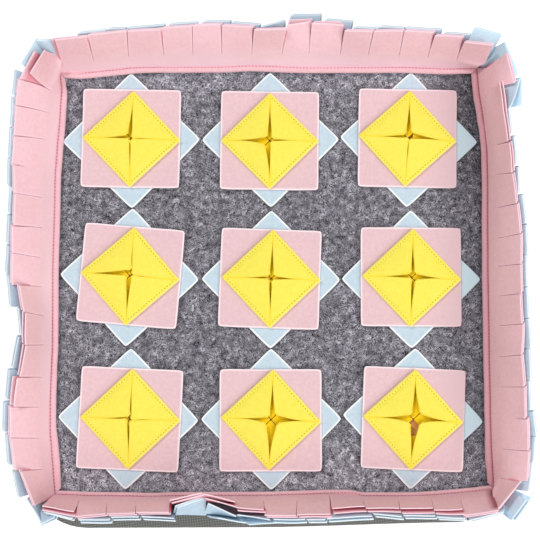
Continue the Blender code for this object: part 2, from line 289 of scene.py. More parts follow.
class Sheet:  # a cloth's middle surface, before it gets its thickness
    def __init__(self):
        self.shape = bmesh.new()
        self.cut_edge_and_highlight = self.shape.verts.layers.float.new("cut_edge_and_highlight")
        self.painted_shading = self.shape.verts.layers.float.new("painted_shading")

    def rows(self, rows, paleShares, painted_shading=None):  # a grid of points, each one's share of the pale colour of cut edges and painted highlights, and of painted shade (below 0, of the second painted colour)
        grid = []
        painted_shading = painted_shading or [[0.0] * len(rows[0])] * len(rows)
        for row, paleRow, shadingRow in zip(rows, paleShares, painted_shading):
            line = []
            for point, cut_edge_and_highlight, lightShadeShare in zip(row, paleRow, shadingRow):
                vertex = self.shape.verts.new(point)
                vertex[self.cut_edge_and_highlight] = cut_edge_and_highlight
                vertex[self.painted_shading] = lightShadeShare
                line.append(vertex)
            grid.append(line)
        for low, high in zip(grid, grid[1:]):
            for a, b, c, d in zip(low, low[1:], high[1:], high):
                self.shape.faces.new((a, b, c, d))

    def piece(self, name, material, thick, smooth, weld=0.0):  # thickened, smooth times divided
        if weld:
            bmesh.ops.remove_doubles(self.shape, verts=self.shape.verts, dist=weld)
        made = newPiece(self.shape, name, material, True)
        solid = made.modifiers.new("thickness", "SOLIDIFY")
        solid.thickness = thick
        solid.offset = 0.0
        if smooth:
            rounder = made.modifiers.new("soft", "SUBSURF")
            rounder.levels = rounder.render_levels = smooth
        return made


def onFrame(piece, slotName, *nodes):
    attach(piece, "root")
    if nodes:
        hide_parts(*nodes)
    return piece


def between(low, high, share):
    return low + (high - low) * share


def held(value, low=0.0, high=1.0):
    return max(low, min(high, value))


def listed(points, place):  # a value read off a short list of places and values
    for (low, first), (high, last) in zip(points, points[1:]):
        if low <= place <= high:
            return between(first, last, eased((place - low) / (high - low)))
    return points[0][1] if place < points[0][0] else points[-1][1]


def eased(share):
    share = held(share)
    return share * share * (3 - 2 * share)


def wave(x, y, seed, size):  # a gentle unevenness, -1 to 1
    return noise.noise(Vector((x / size, y / size, seed * 7.31)))


def turnedTo(angle):  # the directions out and sideways at an angle
    out = Vector((math.cos(angle), math.sin(angle), 0))
    return out, Vector((out.y, -out.x, 0))


# ground cloths

ground = {
    "backingSide": 450 * mm,
    "backingCorner": 40 * mm,
    "nearCorner": 58 * mm,
    "backingLow": 0.5 * mm,  # the cloth stands on its rubber dots
    "backingThick": 1.0 * mm,
    "drift": 4 * mm,  # how far the near edge comes in towards the right
    "dotPitch": 9.0 * mm,
    "dotRadius": 1.6 * mm,
    "dotRings": ((0.7 * mm, 1.0), (0.03 * mm, 0.6)),  # height and share of the radius
    "fieldSide": 406 * mm,
    "fieldCorner": 6 * mm,
    "fieldFloor": 1.8 * mm,
    "fieldThick": 2.8 * mm,
    "sag": 0.25 * mm,  # unevenness of everything that lies flat
}


def swell(x, y):  # how the whole mat lies, a little unevenly
    return ground["sag"] * (1 + wave(x, y, 1, 0.12))


def roundedRows(side, corner, lines, nearCorner=None):  # rows of a square, pressed round at the corners
    half = side / 2

    def pressed(x, y):
        inner = half - (nearCorner if nearCorner and y < 0 else corner)
        dx, dy = abs(x) - inner, abs(y) - inner
        if dx <= 0 or dy <= 0:
            return x, y
        scale = max(dx, dy) / math.hypot(dx, dy)
        return math.copysign(inner + dx * scale, x), math.copysign(inner + dy * scale, y)

    return [[pressed(x, y) for x in lines] for y in lines]


def evenLines(half, rim, count):  # grid lines that lie closer by the edge
    inside = [between(-half + rim, half - rim, step / count) for step in range(count + 1)]
    return [-half] + inside + [half]


def makeBacking():
    half = ground["backingSide"] / 2
    lines = evenLines(half, 2 * mm, 56)
    flat = roundedRows(ground["backingSide"], ground["backingCorner"], lines, ground["nearCorner"])
    middle = ground["backingLow"] + ground["backingThick"] / 2
    rows = [[(x, y + ground["drift"] * (eased((x + 0.02) / 0.2) - 0.35) * held(-y / half), middle)
             for x, y in row] for row in flat]
    sheet = Sheet()
    sheet.rows(rows, [[0] * len(lines)] * len(lines))
    backing = sheet.piece("anti_slip_backing", dotted, ground["backingThick"], 0)
    onFrame(backing, "backing", "backing")

    dots = bmesh.new()
    count = int(half // ground["dotPitch"])
    for row in range(-count, count + 1):
        for column in range(-count, count + 1):
            x = (column + 0.5 * (row % 2)) * ground["dotPitch"]
            y = row * ground["dotPitch"]
            corner = ground["nearCorner" if y < 0 else "backingCorner"]
            dx, dy = abs(x) - half + corner, abs(y) - half + corner
            beyond = dx > 0 and dy > 0 and math.hypot(dx, dy) > corner - 3 * mm
            if beyond or max(abs(x), abs(y)) > half - 3 * mm:
                continue
            rings = [[dots.verts.new((x + share * ground["dotRadius"] * math.cos(turn * math.pi / 3),
                                      y + share * ground["dotRadius"] * math.sin(turn * math.pi / 3),
                                      height)) for turn in range(6)] for height, share in ground["dotRings"]]
            for turn in range(6):
                dots.faces.new((rings[0][turn], rings[1][turn], rings[1][turn - 1], rings[0][turn - 1]))
            dots.faces.new(rings[1])
    bmesh.ops.recalc_face_normals(dots, faces=dots.faces)
    onFrame(newPiece(dots, "anti_slip_dots", rubber), "backing")


def makeField():
    half = ground["fieldSide"] / 2
    lines = evenLines(half, 1.5 * mm, 80)
    flat = roundedRows(ground["fieldSide"], ground["fieldCorner"], lines)
    middle = ground["fieldFloor"] + ground["fieldThick"] / 2
    rows = [[(x, y, middle + swell(x, y) - ground["sag"]) for x, y in row] for row in flat]
    sheet = Sheet()
    sheet.rows(rows, [[0] * len(lines)] * len(lines))
    field = sheet.piece("marl_field", marl, ground["fieldThick"] - 0.3 * mm, 0)
    onFrame(field, "grey_felt", "base_felt")


makeBacking()
makeField()
print("ground cloths laid")


# flowers

flowerLook = {
    "pitch": 129.4 * mm,
    "side": 92 * mm,
    "corner": 3.4 * mm,
    "rim": 2.0 * mm,  # width of the pale line along a cut edge, partly the felt's raw edge and partly a painted highlight
    "edge": 0.35 * mm,
    "pinkStretch": {1: (1.0, 1.016), 0: (1.01, 1.0), -1: (1.015, 1.009)},  # hand-cut, by row: wide and long
    "thick": 1.9 * mm,
    "blueFloor": 4.9 * mm,
    "pinkFloor": 7.2 * mm,
    "pocketFloor": 9.5 * mm,
    "blueLift": 0.5 * mm,  # how far free corners stand up
    "pinkLift": 0.7 * mm,
    "cells": 16,
    "pocketShade": 26 * mm,  # how far from its middle the pink is painted in the pocket's shade and yellow bounce light
    "shadeStart": 0.135,  # where the right side's fringe begins to cast painted shade on the squares
    "shadeEnd": -0.18,  # and where on the near side that painted shade ends
}

# column and row, then how far right, how far away and how turned the blue, the pink and the yellow
# square lie, in mm and degrees
flowers = [
    ((-1, 1), (-0.4, 1.6, 0.9), (-0.5, 3.1, -1.1), (0.2, 1.9, -1.9)),
    ((0, 1), (0.4, 2.0, 0.1), (-0.4, 0.7, -0.9), (-0.2, -0.3, -0.5)),
    ((1, 1), (0.5, 1.6, -2.6), (-0.9, 2.4, -1.3), (-1.3, 1.5, -3.8)),
    ((-1, 0), (-1.2, 2.5, -2.4), (0.2, 3.5, -5.0), (-0.1, 2.8, -4.6)),
    ((0, 0), (0.4, 0.0, -0.6), (-0.5, 0.4, -2.3), (0.7, 0.0, -2.2)),
    ((1, 0), (0.7, -0.3, -0.4), (0.4, 1.6, -0.6), (0.6, 0.5, -2.4)),
    ((-1, -1), (-1.1, 1.8, -1.8), (0.6, 1.4, -2.8), (1.3, 1.6, -2.2)),
    ((0, -1), (0.2, 1.0, 0.0), (-0.3, 0.0, -0.2), (0.0, 0.5, -2.7)),
    ((1, -1), (0.5, 1.2, -3.0), (0.5, 0.7, -2.8), (0.0, 0.3, -3.8)),
]

# where each flap's tip lies, mm right and far of the pocket's middle:
# far left, far right, near right, near left
flapTips = [
    ((-4.3, 4.3), (1.2, 0.7), (-0.3, -1.9), (-2.5, -1.2)),
    ((-3.2, 4.4), (2.7, 2.1), (1.0, -2.5), (-6.5, -6.1)),
    ((-2.9, 4.6), (4.0, 6.3), (1.8, -2.5), (0.7, -0.8)),
    ((2.0, 7.4), (3.3, 1.7), (2.8, 0.1), (-4.1, -0.3)),
    ((-2.4, 3.5), (3.2, 3.5), (1.2, -2.4), (-2.9, -1.4)),
    ((-1.5, 5.0), (3.1, 5.0), (3.7, -3.9), (-0.9, -1.6)),
    ((-0.4, 3.8), (1.8, -1.0), (0.0, -2.9), (-3.5, -0.3)),
    ((-2.0, 4.2), (4.9, 6.2), (7.5, -4.6), (-6.2, -4.2)),
    ((-2.6, 6.1), (7.3, 6.8), (7.3, -4.7), (-4.6, -4.1)),
]


def dieCut(number, kind):
    look, diamond = flowerLook, kind == "blue"
    (column, row), *lays = flowers[number - 1]
    right, far, turn = lays[0 if diamond else 1]
    centerX, centerY = column * look["pitch"] + right * mm, row * look["pitch"] + far * mm
    angle = math.radians(turn + (45 if diamond else 0))
    seed = number if diamond else number + 20
    cos, sin = math.cos(angle), math.sin(angle)
    half = look["side"] / 2
    inside = evenLines(half, look["rim"], look["cells"])[1:-1]
    lines = [-half, -half + look["edge"]] + inside + [half - look["edge"], half]
    flat = roundedRows(look["side"], look["corner"], lines)
    wide, long = (1, 1) if diamond else look["pinkStretch"][row]
    outer = (0, 1, len(lines) - 2, len(lines) - 1)
    rows, paleShares, painted_shading = [], [], []
    for i, line in enumerate(flat):
        points, edge, paintedShadeRow = [], [], []
        for j, (u, v) in enumerate(line):
            u, v = u * wide, v * long
            x, y = centerX + u * cos - v * sin, centerY + u * sin + v * cos
            out = math.hypot(u, v) / half
            curl = look[kind + "Lift"] * eased((out - 0.95) / 0.45) * (1 + 0.9 * wave(x, y, seed, 0.05))
            height = look[kind + "Floor"] + look["thick"] / 2 + swell(x, y) + curl
            wobble = 0.25 * mm * wave(x, y, seed + 3, 0.018) * (i in outer or j in outer)
            points.append((x + wobble, y + wobble, height))
            edge.append(float(i in outer or j in outer))
            # painted shade from the right fringe, fading out on the near side
            shaded = eased((x - look["shadeStart"]) / 0.05) * eased((y - look["shadeEnd"]) / 0.05)
            # inside that reach, the pocket's painted shade and bounce light; outside it, the right fringe's
            # painted shade
            paintedShadeRow.append(1.0 if math.hypot(u, v) < look["pocketShade"] else -shaded)
        rows.append(points)
        paleShares.append(edge)
        painted_shading.append(paintedShadeRow)
    sheet = Sheet()
    sheet.rows(rows, paleShares, painted_shading)
    made = sheet.piece(f"{kind}_cut_{number}", felts[kind], look["thick"], 1)
    onFrame(made, f"{kind}_felt", f"{kind}_square_{number}")


pocketLook = {
    "reach": 46.3 * mm,  # from the middle to a corner
    "thick": 1.7 * mm,
    "foldRadius": 1.15 * mm,
    "stitchIn": 2.9 * mm,  # from the folded edge to the stitches
    "stitchDeep": 0.75 * mm,
    "stitchPitch": 3.1 * mm,
    "stitchHalf": 0.9 * mm,
    "stitchRadius": 0.42 * mm,
    "stitchSink": 0.4 * mm,
    "gape": 0.84,  # how far apart the tips stand, against the list
    "overlap": 0.68,  # how far a flap runs over its neighbour at its root, mm
    "slit": 0.12,  # how far it stays short of it at its tip, mm
    "pull": 2.1,  # how late a flap bends towards where its tip lies
    "rawEdge": 0.2,
    "lift": 2.8 * mm,  # how far a flap's tip springs up at least
    "puff": 1.2 * mm,  # how full a flap is between its edges
    "curl": 0.8 * mm,  # how far a flap's raw edges roll up
    "inside": 0.95,  # how deep the painted shade inside the pocket is
    "rim": 0.45,  # how deep the painted shade along a flap's raw edges is
    "bedTipLift": 2.6 * mm,
    "bare": {(9, 2): 14 * mm, (3, 1): 4 * mm},  # pocket and bed tip that is folded away
    "corner": 2.2 * mm,  # how round a flap's tip is
}


def pocketFrame(number):
    (column, row), blue, pink, (right, far, turn) = flowers[number - 1]
    pitch = flowerLook["pitch"]
    return Vector((column * pitch + right * mm, row * pitch + far * mm, 0)), math.radians(turn)


def makePocket(number):
    look = pocketLook
    middle, turn = pocketFrame(number)
    sheet = Sheet()
    bed = flowerLook["pocketFloor"] + look["thick"] / 2
    top = bed + 2 * look["foldRadius"]
    base = look["reach"] / math.sqrt(2) - look["foldRadius"] - look["thick"] / 2  # middle to the fold
    for quarter, tip in enumerate(flapTips[number - 1]):
        out, side = turnedTo(math.radians(135 - 90 * quarter) + turn)
        pulled = Vector((tip[0] * mm, tip[1] * mm, 0)) * look["gape"]
        lift = look["lift"] + 0.5 * max(0.0, pulled.dot(out) - 1 * mm)
        rows, paleShares, painted_shading = [], [], []

        def add(away, half, heights, shift, edge, paintedShade=0.0):
            line, edges = [], []
            for share, height in heights:
                spot = middle + shift + side * (half * share) + out * away
                spot.z = height + swell(spot.x, spot.y)
                line.append(spot)
                edges.append(look["rawEdge"] * (edge == 1 or abs(share) == 1))
            rows.append(line)
            paleShares.append(edges)
            painted_shading.append([paintedShade * (abs(share) == 1) for share, height in heights])

        # from the bed round the folded edge, whose rows get a painted highlight, then the flap from there to
        # its tip
        shares = (-1, -0.9, -0.68, -0.36, 0, 0.36, 0.68, 0.9, 1)
        for away, height, spare, paintedLight in ((base - 3 * mm, bed, -0.6, 0.0), (base, bed, 0.0, 0.0),
                                          (base + look["foldRadius"] * 0.8, bed + 0.45 * mm, 0.5, 0.3),
                                          (base + look["foldRadius"] * 1.05, (bed + top) / 2, 0.8, 0.8),
                                          (base + look["foldRadius"] * 0.8, top - 0.45 * mm, 0.6, 0.6)):
            add(away, away + spare * mm, [(share, height) for share in shares], Vector(), paintedLight)
            paleShares[-1] = [paintedLight] * len(shares)
        for step in (0.0, 0.035, 0.06, 0.085, 0.13, 0.2, 0.3, 0.42, 0.55, 0.68, 0.8, 0.9, 0.955, 1.0):
            roundness = look["corner"] * max(0.0, (step - 0.84) / 0.16) ** 2
            groove = math.exp(-((step * base - look["stitchIn"] + look["foldRadius"]) / (0.8 * mm)) ** 2)
            climb = max(0.0, (step - 0.09) / 0.91) ** 1.15
            heights = []
            for share in shares:
                full = 1 - share * share
                puff = look["puff"] * full * math.sin(math.pi * held(step * 1.1))
                dent = look["stitchDeep"] * groove * (0.35 + 0.65 * eased(full * 2.5))
                rolled = look["curl"] * share ** 4 * eased((step - 0.15) / 0.5)
                heights.append((share, top + lift * climb + puff + rolled - dent))
            spare = (look["overlap"] * (1 - step) - look["slit"]) * mm
            half = max(base * (1 - step) + spare, 0.02 * mm) + 0.55 * roundness
            level = held(7.5 - 0.9 * abs(pulled.y) / mm, 1.8, 6.0)  # level slits stay shut unless pulled far
            shift = Vector((pulled.x * step ** look["pull"], pulled.y * step ** level, 0))
            add(base * (1 - step), half, heights, shift, float(step == 1), look["rim"])
        sheet.rows(rows, paleShares, painted_shading)

    for axis in range(4):  # the bed's four tips, between the arms of its cross cut
        out, side = turnedTo(math.radians(90 - 90 * axis) + turn)
        bare = look["bare"].get((number, axis), 0.0)
        rows, paleShares = [], []
        for step in (0.0, 0.06, 0.16, 0.3, 0.45, 0.6, 0.75, 0.88, 1.0):
            away = between(0.7 * mm + bare, look["reach"] - 1.2 * mm, step)
            wide = max(min(away - 0.4 * mm, look["reach"] - 0.9 * mm - away), 0.2 * mm)
            up = look["bedTipLift"] * held(1 - away / (16 * mm)) ** 1.5
            if bare:
                up += 0.8 * mm * held(1 - (away - bare) / (5 * mm))
            line, edges = [], []
            for share in (-1, -0.86, -0.5, 0, 0.5, 0.86, 1):
                spot = middle + out * away + side * (share * wide)
                spot.z = bed + up + swell(spot.x, spot.y) - 0.15 * mm
                line.append(spot)
                near = away < look["reach"] / 2 and abs(share) == 1
                edges.append(0.7 if near or step == 0 else 0.0)
            rows.append(line)
            paleShares.append(edges)
        # the bed is painted in the pocket's shade
        sheet.rows(rows, paleShares, [[look["inside"]] * len(rows[0])] * len(rows))
    made = sheet.piece(f"yellow_pocket_felt_{number}", felts["yellow"], look["thick"], 1)
    onFrame(made, "yellow_felt", f"yellow_pocket_{number}")
    return top


# a stitch's rings: place along it, size against its radius, how far it dips
stitchRings = ((0.0, 0.5, 1.0), (0.12, 0.9, 0.45), (0.5, 1.0, 0.0), (0.88, 0.9, 0.45), (1.0, 0.5, 1.0))


def addStitch(shape, start, end, radius, sink):  # a capsule that dips into the felt at both ends
    line = end - start
    along = line.normalized()
    up = Vector((0, 0, 1))
    across = along.cross(up).normalized()
    up = across.cross(along)
    rings = []
    for share, size, down in stitchRings:
        center = start + line * share - up * (sink * down)
        rings.append([shape.verts.new(center + (across * math.cos(a) + up * math.sin(a)) * radius * size)
                      for a in (step * math.pi / 3 for step in range(6))])
    for low, high in zip(rings, rings[1:]):
        for index in range(6):
            shape.faces.new((low[index - 1], low[index], high[index], high[index - 1]))
    shape.faces.new(rings[0][::-1])
    shape.faces.new(rings[-1])


def finishStitches(shape, name, material, slotName):
    bmesh.ops.recalc_face_normals(shape, faces=shape.faces)
    onFrame(newPiece(shape, name, material, True), slotName)


def stitchPocket(number, top):
    look = pocketLook
    middle, turn = pocketFrame(number)
    shape = bmesh.new()
    away = look["reach"] / math.sqrt(2) - look["stitchIn"]
    count = int(2 * (away - 1.5 * mm) / look["stitchPitch"])
    for quarter in range(4):
        out, side = turnedTo(math.radians(135 - 90 * quarter) + turn)
        for index in range(count):
            center = (index + 0.5 - count / 2) * look["stitchPitch"]
            ends = [middle + out * away + side * (center + end * look["stitchHalf"]) for end in (-1, 1)]
            for spot in ends:
                spot.z = top + look["thick"] / 2 - 0.3 * mm + swell(spot.x, spot.y)
            addStitch(shape, *ends, look["stitchRadius"], look["stitchSink"])
    finishStitches(shape, f"pocket_stitches_{number}", ochreThread, "yellow_felt")


for number in range(1, 10):
    dieCut(number, "blue")
    dieCut(number, "pink")
    stitchPocket(number, makePocket(number))
print("nine flowers laid")


# fringe

fringeLook = {
    "border": 197.0,  # all in mm here: middle to the border seam at a corner
    "ends": 197.0,  # middle to the ends of a side's strips
    "band": 17.0,  # uncut height
    "reach": 48.0,  # from the seam to the tips
    "thick": 1.15,
    "plyStep": 1.3,  # least distance from ply to ply
    "seamTop": 9.0,
    "slip": 1.7,  # how far the ply behind is out of step along the side
    "spread": {"pink": 1.5, "blue": 1.3},  # how much further it leans, where the list says nothing
    "bandShare": 0.27,  # how much of the strips' lean the uncut band takes
    "blend": 22.0,  # over what length it evens them out
    "bandMost": 15.0,  # how far it leans out at most
    "knee": 12,  # how far a strip goes on in the band's direction
    "cutGap": 0.05,  # half the gap of a slit
    "deepGap": 0.25,  # how much wider one is that is cut into the band
    "stitchUp": 1.6,
    "nearStitchUp": 2.1,
    "stitchPitch": 3.2,
    "stitchHalf": 1.0,
    "stitchIn": 0.9,  # from the seam
    "stitchSink": 0.6,
}

# each strip, in mm from the side's middle and seam: root end, tip start and end, how far its tip leans
# out at each, and where it isn't the usual, how much further the ply behind leans at each and how far
# that ply is moved along. Bow and wander bend the seam, swell pushes the blue strips out. Shade is the
# painted shade on the band and in its crease. The ply behind gets a share of painted shade, the band
# painted light low down, the blue strips painted light and painted shade, and the listed crease edges a
# crease's painted shade. Tucks move a corner: along and out at the band's rim, its mitre, and its tip along
fringes = {
    "far": {"along": (1, 0), "outward": (0, 1), "bow": 3.5, "shade": (0.12, 0.15), "lightShadeShare": 0.55,
            "paintedLight": ((0, 0.95),), "paintedBlueShade": 0.25, "thread": 0.34,
            "flange": ((0, 1),),
            "wander": ((-197, -1.4), (-190, -2.2), (-181, -3), (-165, -1.8), (-147, -0.5), (-129, 1.1),
                       (-110, 1.2), (-92, 0.6), (-45, 0.25), (-19, 1.2), (0, 0.7), (18, -0.3), (36, -0.7),
                       (90, -0.2), (128, 0.6), (165, 0), (197, 1.4)),
            "light": {14: 0.5, 0: 0.4}, "slitStarts": {}, "paintedCreaseShade": [],
            "tucks": {("pink", "inner", -1): (4.5, 0, 0, 0), ("pink", "outer", -1): (3, 0, 0, -4),
                      ("pink", "inner", 1): (0.9, -5.5, 1, 0), ("pink", "outer", 1): (-0.5, -4, 1, 0)},
            "slits": (1.2, 0.4, 1.1, 0.2, 0.4, 0.8, 0.7, 0.2, 0.2, 0.5, 0.5, 0.3, 0.6), "pink": [
        (-163.5, -195.1, -166.4, 17.4, 19.7), (-131, -165.4, -130.3, 21.8, 25),
        (-98.4, -129.5, -99.6, 25.2, 26.3), (-71.4, -98.7, -71.2, 28, 29.2),
        (-44.5, -70.4, -44.6, 30, 31.4), (-16.7, -43.7, -15.2, 30.2, 27.3),
        (11.4, -14.2, 15.2, 23.8, 25), (36.2, 16.2, 38, 30, 35.5, 8, 4),
        (65.4, 38.6, 67.4, 32.3, 30, 2, 4), (91, 68.4, 94.2, 23, 23.3),
        (119.9, 95, 121.9, 23.3, 23.8), (146.4, 122.7, 149.3, 24, 23.2),
        (173.4, 150.1, 175.2, 19.3, 18.8), (197, 176.2, 202.9, 13.6, 11.2)], "blue": [
        (-174, -212.5, -196, 18.5, 19), (-146.5, -175, -149.3, 22, 25.6),
        (-131, -147.3, -131.5, 26.3, 27.2), (-97, -130.3, -96.3, 27, 31),
        (-69, -92, -66.6, 31.5, 34), (-41, -61.5, -36, 35.1, 36.1),
        (-13, -35, -9, 32.1, 29), (13, -8, 13, 27, 35.5),
        (43, 19.5, 47.5, 45, 45), (70, 51, 76, 36, 34.7),
        (97, 76.8, 99.5, 26.3, 26.6), (121, 100.3, 122.6, 26.6, 25.9),
        (152, 123.4, 156.3, 25, 25.6), (176, 158.6, 182.4, 21, 22),
        (197, 187.3, 213.2, 32.8, 25.5)]},
    "near": {"along": (1, 0), "outward": (0, -1), "bow": 0.5, "shade": (0.12, 0.1), "lightShadeShare": 1,
             "paintedLight": ((0, 0),), "paintedBlueShade": 0, "thread": 0.2,
             "flange": ((0, 0.64),),
             "wander": ((-197, -1.2), (-184, -0.8), (-165, 0), (-129, 0.4), (-110, 1), (-92, 0.3), (-55, 0),
                        (0, 0), (18, -0.7), (54, -1.6), (74, -1.5), (84, 0.8), (128, 1.2), (146, 0.4),
                        (165, -1.1), (183, -2.6), (197, -4.5)),
             "swell": ((-102, 0), (-84, 6.5), (-45, 8), (-15, 4), (2, 0)),
             "light": {0: 0.3, 5: -0.15, 6: 0.2, 7: 0.3, 8: 0.2}, "slitStarts": {9: 4, 3: 30, 2: 23},
             "paintedCreaseShade": [(13, 1), (13, 0.95)],
             "tucks": {("pink", "inner", 1): (-3, 0, 0, 0), ("pink", "outer", 1): (-3, 0, 0.3, 0),
                       ("blue", -1): (-3, 0, 1, 0)},
             "slits": (0.6, 0.3, 0.2, 0.3, 0.3, 0.3, 0.3, 0.3, 0.3, 0.3, 0.3, 0.3, 0.3), "pink": [
        (-171.3, -199.5, -172, 5.3, 10.1, 3.7, 4.4), (-146.2, -170, -144, 15, 12.1, 1.4, 1.4),
        (-120.3, -143.2, -118.3, 12.4, 11.6, 1.4, 1.4), (-89.8, -117.5, -89.5, 11, 11, 1.4, 1.4),
        (-60.7, -88, -61, -0.1, -6.4, 2.5, 1.5), (-33.9, -58.6, -31.5, -5.5, 1.6, 4, 5),
        (-6.5, -31, -6.8, 6.6, 9, 2.9, 2.2), (23.1, -5.5, 21, 14, 13.8, 1.4, 1.4),
        (52.7, 22.5, 52.6, 13.2, 13.2, 2.2, 2.4), (82.2, 51.6, 81, 7.8, 6.2, 4.6, 4.6),
        (113.6, 82.5, 111, 8, 7.8, 3, 3.6), (143.2, 112.3, 140.3, 8, 7.7, 4.5, 4.5),
        (169.1, 141.6, 165.8, 9.5, 9.2, 3.4, 4.8), (197, 167.5, 198, 15.2, 10.5, 1.4, 1.4)], "blue": [
        (-185, -200.3, -188.9, 22.9, 17.4, 1.4, 1.4), (-171, -199, -173, 12, 18, 2, 2),
        (-142, -168, -140, 20.4, 20.4, 3, 3), (-118, -139.5, -115, 18, 17.4, 2.5, 2.5),
        (-89, -113, -84.5, 17.2, 18.4, 2.5, 2.5), (-61, -84, -58.5, 6.4, -2, 1.4, 1.4),
        (-34, -55.4, -30.2, 16.2, 20.6, 13.3, 6.4, 7.3), (-6, -29.6, -0.5, 22.4, 20.6, 9.7, 2.6, 8.5),
        (24, 2, 30, 20.5, 20.5, 3, 3), (53, 31, 47, 20.5, 20.5, 2.5, 2.5),
        (83, 48, 88, 20, 18, 4, 3.5), (113, 89, 114, 15.6, 18, 2.5, 2.5),
        (143, 115, 143, 17, 17.4, 2.5, 2.5), (169, 144, 169, 18, 19.4, 2.5, 2.5),
        (197, 173, 202, 20.4, 12, 2.5, 2)]},
    "left": {"along": (0, 1), "outward": (-1, 0), "bow": 4, "shade": (0.14, 0.4), "lightShadeShare": 0.6,
             "paintedLight": ((-120, 0.75), (-80, 1), (-10, 1), (30, 0.8)), "paintedBlueShade": 0.22, "thread": 0.42,
             "flange": ((-197, 1.1), (-175, 1.3), (-157, 1.25), (-130, 1.08)),
             "wander": ((-197, -0.8), (-175, 0.6), (-157, 1.6), (-138, 2.8), (-120, 2.4), (-83, 1.4),
                        (-65, 0.3), (-28, 0.2), (8, 0.6), (60, 0.2), (100, 0.6), (118, -0.2), (155, -1.6),
                        (180, -2), (190, -0.2), (197, 0.8)),
             "light": {15: 0.8, 0: 0.3}, "slitStarts": {11: 36}, "paintedCreaseShade": [],
             "tucks": {("pink", "inner", 1): (8, -8.5, 1, 0)},
             "slits": (0.3, 0.2, 0.2, 0.6, 0.2, 0.3, 0.8, 0.1, 0.2, 0.3, 0.1, 0.7, 0.9, 0.8), "pink": [
        (-172.1, -202, -173.3, 9, 21.5, 1.6, 1.8), (-144.5, -171.5, -144.2, 27.4, 31.8),
        (-116.8, -143.2, -117.1, 32.3, 32), (-89.8, -116.1, -91, 27.6, 24.2, 4, 5),
        (-60.8, -90, -63.3, 22, 15.7, 2, 3), (-34.4, -61.5, -33.7, 16.2, 16.2, 3, 3),
        (-7.9, -32.5, -9, 18, 23, 2, 2), (18.7, -8.3, 20.6, 30.9, 31.4),
        (46.4, 21.2, 45.2, 31.6, 32), (74.3, 45.9, 74.5, 30.2, 30),
        (102.2, 75.1, 100.2, 31.3, 32.4), (128.5, 101, 128, 35, 33.8),
        (153.9, 128.8, 156, 34, 33.4), (174, 157, 181, 33.8, 31.8),
        (197, 184, 204.5, 20, 6.5, 11, 10, -4.7)], "blue": [
        (-190, -221.3, -198, 4.7, 16.5), (-167, -196, -173, 25.3, 30),
        (-139, -167.5, -140.5, 35.2, 37), (-110, -138.5, -112.5, 40, 39),
        (-83, -110, -83.5, 36.6, 34.4), (-54, -82.5, -54.5, 30.8, 24.2),
        (-27, -53.5, -29, 21.3, 24.3), (1, -28, 1.5, 33, 36.6),
        (28, 2.5, 28, 37.9, 37.3), (56, 28.7, 55.5, 37.5, 37.1),
        (81.5, 56.5, 80.8, 36.3, 35.8), (108, 81.8, 108, 38.4, 38.5),
        (136.5, 108.8, 136, 39, 37.8), (162, 137, 164, 37.9, 38.2),
        (180, 165.5, 190.5, 36, 37), (197, 193.4, 219.5, 29.7, 17.5)]},
    "right": {"along": (0, 1), "outward": (1, 0), "bow": 3.5, "shade": (0.5, 0.8), "lightShadeShare": 0.55,
              "paintedLight": ((0, 0.3),), "paintedBlueShade": 0, "thread": 0.46,
              "flange": ((-197, 1.15), (-188, 1.2), (-172, 1.38), (-145, 1.1), (-100, 1.1), (200, 1.1)),
              "wander": ((-197, 5.2), (-188, 5), (-172, 3.9), (-150, 2.4), (-120, 1.5), (-60, 0.8), (0, 0.8),
                         (35, 1.5), (100, 3.4), (125, 3.8), (140, 3), (155, 1.2), (180, -1.4), (197, -2)),
              "light": {15: 1, 14: 0.6, 0: 0.3}, "paintedCreaseShade": [(0, 0)], "tuckBend": 0.8,
              "slitStarts": {11: 22, 12: 26, 13: 48, 14: 24, 3: 40},
              "tucks": {("pink", "inner", 1): (-4.5, 0, 0.15, 0), ("pink", "outer", 1): (-3, 0, 0.3, 0),
                        ("pink", -1): (-4, -6.5, 1, 0), ("blue", 1): (5, 0, 1, 0),
                        ("blue", -1): (-11.5, -3, 1, 0)},
              "slits": (0.6, 0.3, 0.3, 0.3, 0.3, 0.3, 0.3, 0.3, 0.3, 0.4, 0.4, 0.5, 0.5, 0.5), "pink": [
        (-181.5, -208, -184.4, 0, 20.3), (-155.7, -182.2, -157, 28, 29.4),
        (-128, -156, -129.1, 28.6, 28), (-100.2, -128.1, -101, 25.4, 25.6),
        (-73.1, -100, -72.8, 24.8, 22), (-44.9, -71.8, -45.3, 22.2, 24.1),
        (-18, -44.3, -18.4, 23.2, 21.8), (9.1, -17.4, 8.1, 22.9, 23.3),
        (34.9, 9.1, 35.6, 23.6, 24.4), (62.9, 36.6, 62.5, 23.9, 21.3),
        (93.4, 63.5, 90, 20.5, 17.9, 1.5, 2), (120.5, 91, 118.2, 17.6, 16, 2.4, 2.4),
        (150.6, 119.2, 146.2, 14.6, 12.1, 2.6, 3), (172, 147, 172.5, 12.1, 9.6, 3, 3),
        (197, 175, 201, 25, 18, 2, 2)], "blue": [
        (-189, -217.5, -199, 19.2, 33.8, 4.6, 6), (-163, -192, -166, 29, 32.5),
        (-143, -165, -144.6, 35.3, 37.5), (-121, -143.8, -122, 38.6, 35.3),
        (-94.5, -121, -95, 32.1, 30.9), (-67, -94, -67, 32.3, 31.5),
        (-40, -66, -40, 32.7, 31.3), (-12, -39, -12, 31.1, 29.5),
        (17, -11, 17, 29.8, 30.3), (45, 18, 44.6, 31.7, 31.4),
        (71, 45.6, 71.3, 30.6, 28.3), (97, 72.3, 96.5, 24.6, 25.4),
        (124, 98, 124.4, 22.9, 22.1), (150, 126, 150.5, 19.4, 18.6, 1.4, 1.4),
        (176, 152, 179.5, 30.5, 32.8, 11, 1.3), (197, 181.5, 212, 28.5, 17.3)]},
}


